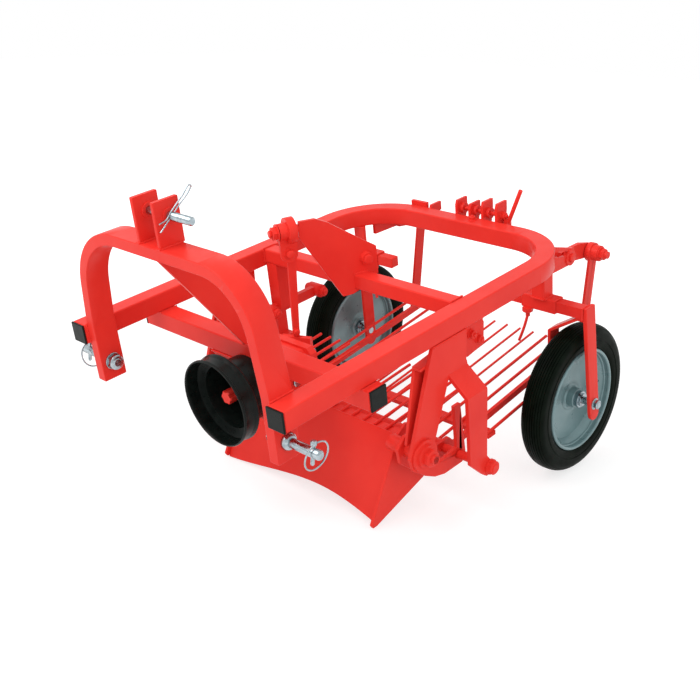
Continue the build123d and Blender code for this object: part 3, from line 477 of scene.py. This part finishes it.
def shaft_guard():
    """Moulded cup with a rolled lip, a step behind it and a plain neck."""
    low, high = level_box("pto_guard")
    neck_low, neck_high = level_box("pto_guard_neck")
    radius, neck = (high.x - low.x) / 2, (neck_high.x - neck_low.x) / 2
    depth, total = high.y - low.y, neck_high.y - low.y
    axis = facing((0, low.y, pivot("pto_spin").z), (0, 1, 0))
    inside, neck_inside = radius - GUARD_WALL, neck - GUARD_WALL
    outside = [(0, radius - 4), (0.5, radius - 1), (2.5, radius), (6, radius), (8, radius - 2.5),
               (11, radius - 3), (depth - 16, radius - 4), (depth - 13, radius - 3),
               (depth - 10, radius - 1), (depth - 4, radius), (depth, radius - 3),
               (depth + 1, radius - 8), (depth + 1, neck + 4), (depth + 5, neck), (total, neck - 3)]
    within = [(total, neck_inside - 3), (depth + 2, neck_inside), (depth - 4, neck_inside + 2),
              (depth - 5, neck + 6), (depth - 7, radius - 12), (depth - 10, radius - 6), (10, inside - 3),
              (2, inside - 2)]
    bm = bmesh.new()
    lathe(bm, axis, outside + within, 96)
    front, rear, rim = total - 6, total - 1, neck - 5
    lathe(bm, axis, [(front, GUARD_SEAL_R), (front, rim), (rear, rim), (rear, GUARD_SEAL_R)], 96)
    piece("shaft_guard", bm, "frame", "black_plastic", ["pto_guard", "pto_guard_neck"], 30)


shaft_guard()


# ---- drive shaft and gearbox ----------------------------------------------------------
SPLINES, SPLINE_LENGTH, SPLINE_DEPTH = 6, 62.0, 3.2
# turn from a spline's middle in radians, and whether the shaft is full there
SPLINE_SHAPE = ((-0.36, False), (-0.24, False), (-0.22, True), (0.0, True), (0.22, True), (0.24, False))
# how far from the shaft's tip, and how full it is: a chamfered tip and a ring groove for the yoke's lock
SHAFT_STATIONS = ((0, 0.90), (2.5, 1.0), (20, 1.0), (21.5, 0.84), (25.5, 0.84), (27, 1.0),
                  (SPLINE_LENGTH, 1.0))
SHANK_START, SHANK_R = 69.0, 15.0


def splined_shaft():
    """Red shaft with six splines and a ring groove, plain behind them."""
    low, high = level_box("pto_shaft")
    centre = pivot("pto_spin")
    axis = facing((centre.x, low.y, centre.z), (0, 1, 0))
    radius = (high.x - low.x) / 2
    root = radius - SPLINE_DEPTH
    bm = bmesh.new()
    rings = []
    for along, scale in SHAFT_STATIONS:
        ring = []
        for k in range(SPLINES):
            for turn, full in SPLINE_SHAPE:
                angle = 2 * math.pi * k / SPLINES + turn
                reach = min(radius if full else root, radius * scale)
                point = Vector((reach * math.cos(angle), reach * math.sin(angle), along))
                ring.append(bm.verts.new(axis @ point))
        rings.append(ring)
    skin(bm, rings)
    plain = [(SPLINE_LENGTH - 1, root), (SPLINE_LENGTH + 3, radius), (SHANK_START, radius),
             (SHANK_START, SHANK_R), (high.y - low.y, SHANK_R)]
    lathe(bm, axis, plain, 40, False)
    piece("splined_shaft", bm, "pto_shaft", "red_paint", ["pto_shaft"], 30)


def gearbox_casting():
    """Cast housing with a ribbed underside, a bolted rear cover and a plug in each side."""
    low, high = level_box("gearbox")
    centre = (low + high) / 2
    half, up = (high.x - low.x) / 2, (high.z - low.z) / 2
    depth = high.y - low.y
    # front and rear end of each part, how far it lies within the box, and its cut corners
    sections = ((0, 14, 0, 10), (14, depth - 26, 7, 22), (depth - 26, depth - 6, 1, 14),
                (depth - 6, depth, 8, 18))
    bm = bmesh.new()
    for front, rear, inset, cut in sections:
        start = (low.x + inset, low.y + front, low.z + inset)
        block(bm, start, (high.x - inset, low.y + rear, high.z - inset), cut)
    for x in (centre.x - half / 2, centre.x, centre.x + half / 2):
        block(bm, (x - 3, low.y + 10, low.z + 1), (x + 3, high.y - 20, low.z + 12))
    piece("gearbox_casting", bm, "frame", "red_paint", ["gearbox"])
    bm = bmesh.new()
    for x, z in ((1, 1), (1, -1), (-1, 1), (-1, -1), (0, 1), (0, -1)):
        seat = (centre.x + x * (half - 19), high.y - 6, centre.z + z * (up - 19))
        bolt_head(bm, seat, (0, 1, 0), 13, 1.5)
    piece("gearbox_bolts", bm, "frame", "zinc_steel")
    bm = bmesh.new()
    hexagon(bm, (high.x - 7.5, centre.y, centre.z), (1, 0, 0), 22, 7)
    hexagon(bm, (low.x + 7.5, centre.y, centre.z - 30), (-1, 0, 0), 17, 7)
    piece("gearbox_plugs", bm, "frame", "zinc_steel")


splined_shaft()
gearbox_casting()


# ---- hitch pins -----------------------------------------------------------------------
LOWER_PIN_R, COLLAR_R, COLLAR_LENGTH = 11.0, 20.0, 14.0
HOOP_SIDE = level_box("hitch_hoop")[1].x   # outer faces of the hoop's legs
HOOP_THICK = 28.0          # through the leg, from the collar to the nut's washer
PIN_NUT, PIN_WASHER = 34.0, 3.5   # across the nut's flats, and its washer's thickness
LINCHPIN_INSET = 24.0      # how far the linchpin stands from the pin's end
LINCHPIN_LEAN = (0, 0.22, 1)
LINCHPIN_PROFILE = ((-9, 5.5), (-7, 7), (1, 7), (2, 4.4), (42, 4.4), (45, 2.6))   # along, radius
RING_R, RING_WIRE = 33.0, 1.9
RING_TURN, RING_STEPS = math.radians(336), 40
RING_SWING = 6.0           # how far the spring ring swings out over the pin's end
HEAD_R, HEAD_LENGTH, TOP_PIN_R = 15.0, 12.0, 9.5
CLEVIS_INNER, CLEVIS_THICK, CLEVIS_RING_R = 31.0, 10.0, 17.0
CLIP_WIRE = 1.7
CLIP_PLACE = 8.0           # how far the clip stands from the outer plate
# the clip's wire as (back, up) from the pin's middle: through the hole, round a bend, back over the pin
CLIP_STRAIGHT = ((-34, -26), (-12, -9), (0, 0), (24, 18), (45, 32), (55, 41))
CLIP_BEND = ((58, 48), (53, 51), (46, 47))
CLIP_WAIST = ((33, 37), (16, 25), (5, 17), (-4, 10), (-12, 2), (-20, -3), (-36, -6))


def hitch_pin(name, side):
    """Lower pin with a domed collar outside the hoop, a nut inside it and a chamfered end."""
    low, high = level_box(f"lower_pin_{name}")
    place = (low + high) / 2
    outer, inner = (high.x, low.x) if side > 0 else (-low.x, -high.x)
    end = HOOP_SIDE + COLLAR_LENGTH
    profile = [(inner, LOWER_PIN_R - 2), (inner + 2, LOWER_PIN_R), (HOOP_SIDE, LOWER_PIN_R),
               (HOOP_SIDE, COLLAR_R), (HOOP_SIDE + 4, COLLAR_R), (end - 5, COLLAR_R - 2),
               (end - 1.5, COLLAR_R - 5), (end, LOWER_PIN_R + 2), (end, LOWER_PIN_R),
               (outer - 5, LOWER_PIN_R), (outer - 1.5, LOWER_PIN_R - 2), (outer, LOWER_PIN_R - 5)]
    bm = bmesh.new()
    lathe(bm, facing((0, place.y, place.z), (side, 0, 0)), profile, 40, False)
    seat = HOOP_SIDE - HOOP_THICK
    inward = (-side, 0, 0)
    washer(bm, (side * seat, place.y, place.z), inward, PIN_NUT * 0.62, LOWER_PIN_R, PIN_WASHER)
    hexagon(bm, (side * (seat - PIN_WASHER), place.y, place.z), inward, PIN_NUT, seat - inner - 5)
    piece(f"hitch_pin_{name}", bm, "frame", "zinc_steel", [f"lower_pin_{name}"])


def linchpin(name, side):
    """Linchpin through the lower pin, with its round spring ring over the pin's end."""
    low, high = level_box(f"lower_pin_{name}")
    place = (low + high) / 2
    x = side * ((high.x if side > 0 else -low.x) - LINCHPIN_INSET)
    lean = Vector(LINCHPIN_LEAN).normalized()
    bm = bmesh.new()
    lathe(bm, facing(Vector((x, place.y, place.z)) + lean * 17, -lean), LINCHPIN_PROFILE, 24, False)
    middle = Vector((x, place.y + 8, place.z - 12))
    ring = []
    for k in range(RING_STEPS + 1):
        turn = RING_TURN * k / RING_STEPS
        swing = side * RING_SWING * math.cos(turn)
        ring.append(middle + Vector((swing, RING_R * math.sin(turn), RING_R * math.cos(turn))))
    sweep(bm, ring, RING_WIRE)
    piece(f"linchpin_{name}", bm, "frame", "zinc_steel")


def smooth_path(points, steps=6):
    """Catmull-Rom curve through the points."""
    ends = [points[0] * 2 - points[1], *points, points[-1] * 2 - points[-2]]
    path = []
    for a, b, c, d in zip(ends, ends[1:], ends[2:], ends[3:]):
        for k in range(steps):
            t = k / steps
            path.append(0.5 * ((b * 2) + (c - a) * t + (a * 2 - b * 5 + c * 4 - d) * t * t
                               + (b * 3 - a - c * 3 + d) * t ** 3))
    return path + [points[-1]]


def top_pin():
    """Top link pin with a rounded head, a chamfered end and a hairpin clip."""
    low, high = level_box("top_link_pin")
    place = (low + high) / 2
    neck = low.x + HEAD_LENGTH
    profile = [(low.x, HEAD_R - 3), (low.x + 2, HEAD_R), (neck, HEAD_R), (neck, TOP_PIN_R),
               (high.x - 3, TOP_PIN_R), (high.x, TOP_PIN_R - 2.5)]
    bm = bmesh.new()
    lathe(bm, facing((0, place.y, place.z), (1, 0, 0)), profile, 40, False)
    piece("top_pin", bm, "frame", "zinc_steel", ["top_link_pin"])
    outside = CLEVIS_INNER + CLEVIS_THICK
    bm = bmesh.new()
    for x, way, thick in ((CLEVIS_INNER, -1, 3), (-CLEVIS_INNER, 1, 3), (outside, 1, 2.5)):
        washer(bm, (x, place.y, place.z), (way, 0, 0), CLEVIS_RING_R, TOP_PIN_R, thick)
    piece("clevis_rings", bm, "frame", "red_paint")
    hole = Vector((outside + CLIP_PLACE, place.y, place.z))
    runs = ((0, CLIP_STRAIGHT), (2.5, CLIP_BEND), (5, CLIP_WAIST))
    path = [hole + Vector((out, back, up)) for out, run in runs for back, up in run]
    bm = bmesh.new()
    sweep(bm, smooth_path(path), CLIP_WIRE)
    piece("hairpin_clip", bm, "frame", "zinc_steel")


top_pin()
for name, side in SIDES:
    hitch_pin(name, side)
    linchpin(name, side)


# ---- pivot stand and rocker -----------------------------------------------------------
STAND_TURN = math.radians(22)   # the stand points forward and a little to the right
STAND_FOOT = Vector((15, 583, 0))
STAND_BACK = Vector((math.sin(STAND_TURN), math.cos(STAND_TURN), 0))
STAND_OUT = Vector((math.cos(STAND_TURN), -math.sin(STAND_TURN), 0))
STAND_THICK = 10.0
PIVOT_SEAT, PIVOT_NUT = -134.0, -191.0   # the pin's rear end and its nut, along the stand
PIVOT_R = 10.0
# along, height, out, size across flats and washer
ROCKER_BOLTS = ((-164, 97, 0, 19, 2), (-169.5, -118, -STAND_THICK, 14, 1.5))


def on_stand(along, height, out=0.0):
    """Point given along the stand, above the frame's top and out from its left face."""
    return STAND_FOOT + STAND_BACK * along + STAND_OUT * out + Vector((0, 0, height))


def rocker_pin():
    """Pivot pin with a washer and a nut in front of the rocker's boss, and the bolts near it."""
    height = pivot("drive_rocker_swing").z
    middle = -STAND_THICK / 2
    forward = -STAND_BACK
    axis = facing(on_stand(PIVOT_SEAT, height, middle), forward)
    bm = bmesh.new()
    lathe(bm, axis, [(0, PIVOT_R), (PIVOT_SEAT - PIVOT_NUT, PIVOT_R)], 32, False)
    nut(bm, on_stand(PIVOT_NUT + 3, height, middle), forward, 30, 12, PIVOT_R, 7, 3)
    piece("rocker_pin", bm, "frame", "red_paint", ["pivot_pin"])
    bm = bmesh.new()
    for along, up, out, across, washer_thick in ROCKER_BOLTS:
        bolt_head(bm, on_stand(along, up, out), STAND_OUT, across, washer_thick)
    piece("rocker_bolts", bm, "drive_rocker", "red_paint")
    bm = bmesh.new()
    hexagon(bm, on_stand(36, 38, 13.5), STAND_OUT, 22, 6)
    piece("stand_bolt", bm, "frame", "red_paint")


rocker_pin()


# ---- bolts and nuts -------------------------------------------------------------------
def fasteners(name, body, slot, places):
    """Nuts: place, direction, size across flats, height, bolt radius, proud length and washer."""
    bm = bmesh.new()
    for columns in places:
        nut(bm, *columns)
    piece(name, bm, body, slot)


def both(places):
    """The same places on the left and, mirrored, on the right side."""
    mirrored = []
    for (x, y, z), way, *sizes in places:
        mirrored += [((side * x, y, z), (side * way, 0, 0), *sizes) for _, side in SIDES]
    return mirrored


fasteners("frame_nuts", "frame", "red_paint", both([
    ((397, 395, -305), 1, 38, 14.5, 12.3, 8.5, 0),      # share pivots, over the plain nuts
    ((437, 578, -415), 1, 32, 10.5, 12.3, 2.6, 0),      # sieve's front pins
]) + [
    ((98, 1099, 10), (1, 0, 0), 19, 9, 6, 5, 2.5),      # bolt through the adjuster plates
    ((-50, 1099, 10), (-1, 0, 0), 19, 9, 6, 5, 2.5),
    ((-286, 556, -174), (1, 0, 0), 24, 12, 8, 5, 2.5),  # bosses under the right end of the crossbar
    ((-286, 737, -174), (1, 0, 0), 24, 12, 8, 5, 2.5),
    ((-330, 556, -174), (-1, 0, 0), 24, 12, 8, 5, 2.5),
    ((-330, 737, -174), (-1, 0, 0), 24, 12, 8, 5, 2.5),
    ((338, 640, -104), (1, 0, 0), 19, 9, 6, 4, 2.5),    # plate on the left post
    ((338, 668, -128), (1, 0, 0), 19, 9, 6, 4, 2.5),
    ((28, 1052, 0), (0, 0, 1), 17, 8, 5, 3, 2.5),       # bolt on the rear tube
])
fasteners("tail_nuts", "tail_rocker", "red_paint", both([
    ((336.4, 1223, -98), 1, 28, 13, 10, 6, 2.5),        # links' eyes
    ((319.4, 1104, -72), 1, 21, 6, 10, 0, 0),           # ends of the tail shaft
]))
for name, side in SIDES:
    hub = pivot(f"wheel_{name}_spin")
    fasteners(f"axle_nuts_{name}", f"carrier_{name}", "zinc_steel", [
        ((side * 474.5, hub.y, hub.z), (side, 0, 0), 22, 11, 10, 1, 2.5),
    ])


# ---- sleeve clamps --------------------------------------------------------------------
CLAMP_BOSS = (281, 955, -168.5)           # under the left wheel sleeve
CLAMP_START, CLAMP_TIP = (281, 955, -190.5), (262, 940, -267)
CLAMP_BEND = (3, -2, 0)                   # how far its handle bends off the straight line
CLAMP_STATIONS = (-0.12, 0, 0.2, 0.4, 0.6, 0.8, 1.0)


def sleeve_clamp(name, side):
    """Boss and screw with a bent handle under a wheel sleeve."""
    places = (CLAMP_BOSS, CLAMP_START, CLAMP_TIP, CLAMP_BEND)
    boss, start, tip, bend = (Vector((side * x, y, z)) for x, y, z in places)
    bm = bmesh.new()
    hexagon(bm, boss, (0, 0, -1), 26, 13)
    lathe(bm, facing(boss - Vector((0, 0, 12)), (0, 0, -1)), [(0, 6), (14, 6), (15, 4.5)], 20, False)
    handle = [start + (tip - start) * t + bend * math.sin(math.pi * t) for t in CLAMP_STATIONS]
    sweep(bm, handle, 4.0, 12)
    piece(f"sleeve_clamp_{name}", bm, "frame", "red_paint")


for name, side in SIDES:
    sleeve_clamp(name, side)


# ---- weld beads -----------------------------------------------------------------------
FORK_WELD_X, FORK_WELD_HALF = 447.5, 15.5     # square bead where the arm meets its fork
FORK_WELD_MIDDLE = (971, -150)
SQUARE = ((-1, -1), (-1, 1), (1, 1), (1, -1), (-1, -1))


def mirrored_runs(runs):
    """The same runs on the left and, mirrored, on the right side."""
    return [[(side * x, y, z) for x, y, z in run] for run in runs for _, side in SIDES]


FRAME_WELDS = mirrored_runs([
    [(331, 8, -48), (331, 8, 1), (331, 72, 1), (331, 72, -48)],         # hoop's legs on the arms
    [(42, 12, 266), (42, 70, 266)],                                     # top link plates on the hoop
    [(30, 12, 266), (30, 70, 266)],
    [(30, 11, 266), (42, 11, 266)],
    [(330, 217, -51), (330, 269, -51)],                                 # arms on the cross tube
    [(382, 217, -51), (382, 269, -51)],
    [(330, 581, -39), (330, 581, 1), (330, 623, 1), (330, 623, -39)],   # crossbar between the arms
    [(382, 450, -50.5), (382, 572, -50.5)],                             # hangers under the arms
    [(300, 944, -51), (340, 944, -51)],                                 # wheel posts under the frame
    [(300, 944, -131), (340, 944, -131)],                               # and on their sleeves
    [(341, 945, -131), (341, 985, -131)],
    [(7, 19, 236), (7, 70, 236)],                                       # brace under the hoop
    [(6, 218, -49), (6, 268, -49)],                                     # and on the cross tube
]) + [
    [(-133, 217, -101), (133, 217, -101)],                              # gearbox plate
    [on_stand(-1, 1, 0.5), on_stand(42, 1, 0.5)],                       # stand on the crossbar
    [on_stand(-1, 1, -STAND_THICK - 0.5), on_stand(42, 1, -STAND_THICK - 0.5)],
]
bm = bmesh.new()
for run in FRAME_WELDS:
    weld(bm, run)
piece("frame_welds", bm, "frame", "red_paint")
for name, side in SIDES:
    middle = Vector((side * FORK_WELD_X, *FORK_WELD_MIDDLE))
    bm = bmesh.new()
    weld(bm, [middle + Vector((0, y, z)) * FORK_WELD_HALF for y, z in SQUARE])
    piece(f"fork_weld_{name}", bm, f"carrier_{name}", "red_paint")


# ---- floor, light and camera ----------------------------------------------------------
CAMERA_AZIMUTH, CAMERA_ELEVATION, CAMERA_ROLL = 46.57, 26.83, -5.82   # degrees, in the level frame
CAMERA_DISTANCE, CAMERA_RIGHT, CAMERA_UP = 2219.4, 402.8, 14.9        # mm from the level frame's origin
CAMERA_LENS, CAMERA_SENSOR = 52.06, 36.0
CAMERA_SHIFT_Y = 0.007
FLOOR_REACH = 14.0
FLOOR_BOUNCE, FLOOR_SEEN = (0.80, 0.80, 0.80), (0.42, 0.42, 0.42)   # colour as light and as background
FLOOR_GLOW, FLOOR_FADE = (0.70, 1.0), (1.2, 2.6)   # glow near and far, and the metres between
WORLD_LIGHT, WORLD_SEEN = 0.78, 1.0                # strength as light and as background
LAMP_AIM = (0, 0, 0.3)
# name, place in metres, size, watts, and whether it shows in glossy surfaces
SOFTBOXES = (
    ("key", (-0.6, -2.2, 3.2), 2.4, 70, True),
    ("fill", (3.0, -1.2, 1.8), 2.0, 22, False),
)
WHITE = (1.0, 1.0, 1.0, 1.0)


def make_camera():
    """Camera at its angle in the level frame, without depth of field."""
    azimuth, elevation, roll = map(math.radians, (CAMERA_AZIMUTH, CAMERA_ELEVATION, CAMERA_ROLL))
    level = math.cos(elevation)
    back = Vector((math.sin(azimuth) * level, -math.cos(azimuth) * level, math.sin(elevation)))
    right = Vector((math.cos(azimuth), math.sin(azimuth), 0))
    axes = Matrix((right, back.cross(right), back)).transposed() @ Matrix.Rotation(roll, 3, "Z")
    place = axes @ Vector((CAMERA_RIGHT, CAMERA_UP, CAMERA_DISTANCE))
    camera = bpy.data.objects.new("camera", bpy.data.cameras.new("camera"))
    camera.data.lens = CAMERA_LENS
    camera.data.sensor_width = CAMERA_SENSOR
    camera.data.shift_y = CAMERA_SHIFT_Y
    turn = LEVEL.to_3x3().normalized()
    camera.matrix_world = Matrix.Translation(LEVEL @ place) @ (turn @ axes).to_4x4()
    bpy.context.scene.collection.objects.link(camera)
    bpy.context.scene.camera = camera


def background_rays(tree):
    """1 where the camera sees a surface itself, in a reflection or through something clear."""
    rays = tree.nodes.new("ShaderNodeLightPath")
    seen = rays.outputs["Is Camera Ray"]
    for other in ("Is Glossy Ray", "Is Transmission Ray"):
        either = tree.nodes.new("ShaderNodeMath")
        either.operation = "MAXIMUM"
        tree.links.new(seen, either.inputs[0])
        tree.links.new(rays.outputs[other], either.inputs[1])
        seen = either.outputs["Value"]
    return seen


def make_floor():
    """White floor: as background it glows a little, so that only the soft shadow shows on it."""
    n = Nodes("floor")
    seen = background_rays(n.tree)
    n.link(n.mix(seen, FLOOR_BOUNCE, FLOOR_SEEN), n.shader.inputs["Base Color"])
    distance = n.add("ShaderNodeVectorMath", operation="LENGTH")
    n.link(n.place, distance.inputs[0])
    glow = n.add("ShaderNodeMath", operation="MULTIPLY")
    n.link(n.span(distance.outputs["Value"], *FLOOR_GLOW, *FLOOR_FADE), glow.inputs[0])
    n.link(seen, glow.inputs[1])
    n.link(glow.outputs["Value"], n.shader.inputs["Emission Strength"])
    n.shader.inputs["Emission Color"].default_value = WHITE
    n.shader.inputs["Roughness"].default_value = 0.9
    n.shader.inputs["Specular IOR Level"].default_value = 0.0
    corners = [(x * FLOOR_REACH, y * FLOOR_REACH, 0) for x, y in SQUARE[:4]]
    mesh = bpy.data.meshes.new("floor")
    mesh.from_pydata(corners, [], [(3, 2, 1, 0)])
    mesh.materials.append(n.material)
    floor = bpy.data.objects.new("floor", mesh)
    bpy.context.scene.collection.objects.link(floor)


def make_world():
    """White to the camera and in reflections, softer as light."""
    world = bpy.data.worlds.new("studio")
    bpy.context.scene.world = world
    world.use_nodes = True
    tree = world.node_tree
    background = tree.nodes["Background"]
    level = tree.nodes.new("ShaderNodeMapRange")
    level.inputs["To Min"].default_value = WORLD_LIGHT
    level.inputs["To Max"].default_value = WORLD_SEEN
    tree.links.new(background_rays(tree), level.inputs["Value"])
    tree.links.new(level.outputs["Result"], background.inputs["Strength"])
    background.inputs["Color"].default_value = WHITE


def softbox(name, place, size, watts, mirrored):
    """Square lamp aimed at the machine."""
    lamp = bpy.data.lights.new(name, "AREA")
    lamp.shape = "SQUARE"
    lamp.size = size
    lamp.energy = watts
    light = bpy.data.objects.new(name, lamp)
    light.location = place
    light.visible_glossy = mirrored
    light.rotation_euler = (Vector(LAMP_AIM) - Vector(place)).to_track_quat("-Z", "Y").to_euler()
    bpy.context.scene.collection.objects.link(light)


make_camera()
make_floor()
make_world()
for columns in SOFTBOXES:
    softbox(*columns)
bpy.context.scene.view_settings.view_transform = "Standard"
